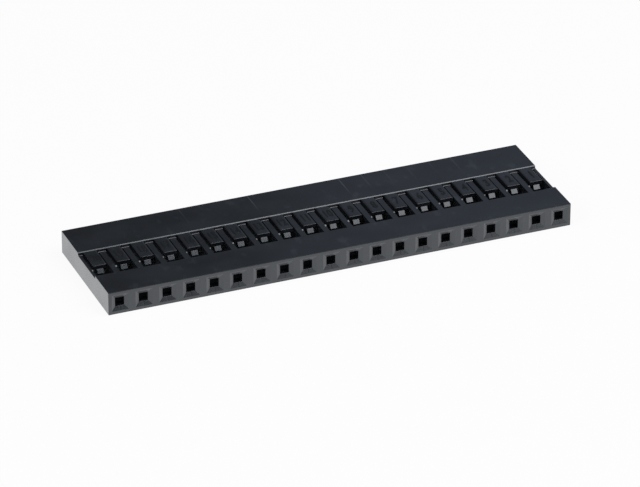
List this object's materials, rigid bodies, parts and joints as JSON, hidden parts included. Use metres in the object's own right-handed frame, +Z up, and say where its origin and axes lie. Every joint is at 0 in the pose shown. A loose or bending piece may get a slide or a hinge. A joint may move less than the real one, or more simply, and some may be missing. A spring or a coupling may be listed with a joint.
{
  "type": "crimp connector housing",
  "caption": "Slim single-row crimp connector housing: square pin funnels in the mating face, a latch finger over each terminal cavity, and open wire entries behind.",
  "frame": {"origin": "centre of the flat underside", "axes": "+X along the row of positions, +Y from the mating face towards the wire end, +Z up through the face with the latch fingers"},
  "size_m": [0.0508, 0.014, 0.0025],
  "materials": {
    "black_plastic": "semi-gloss black moulding, as it left the tool"
  },
  "bodies": {
    "root": {"housing": "black_plastic"}
  },
  "joints": []
}
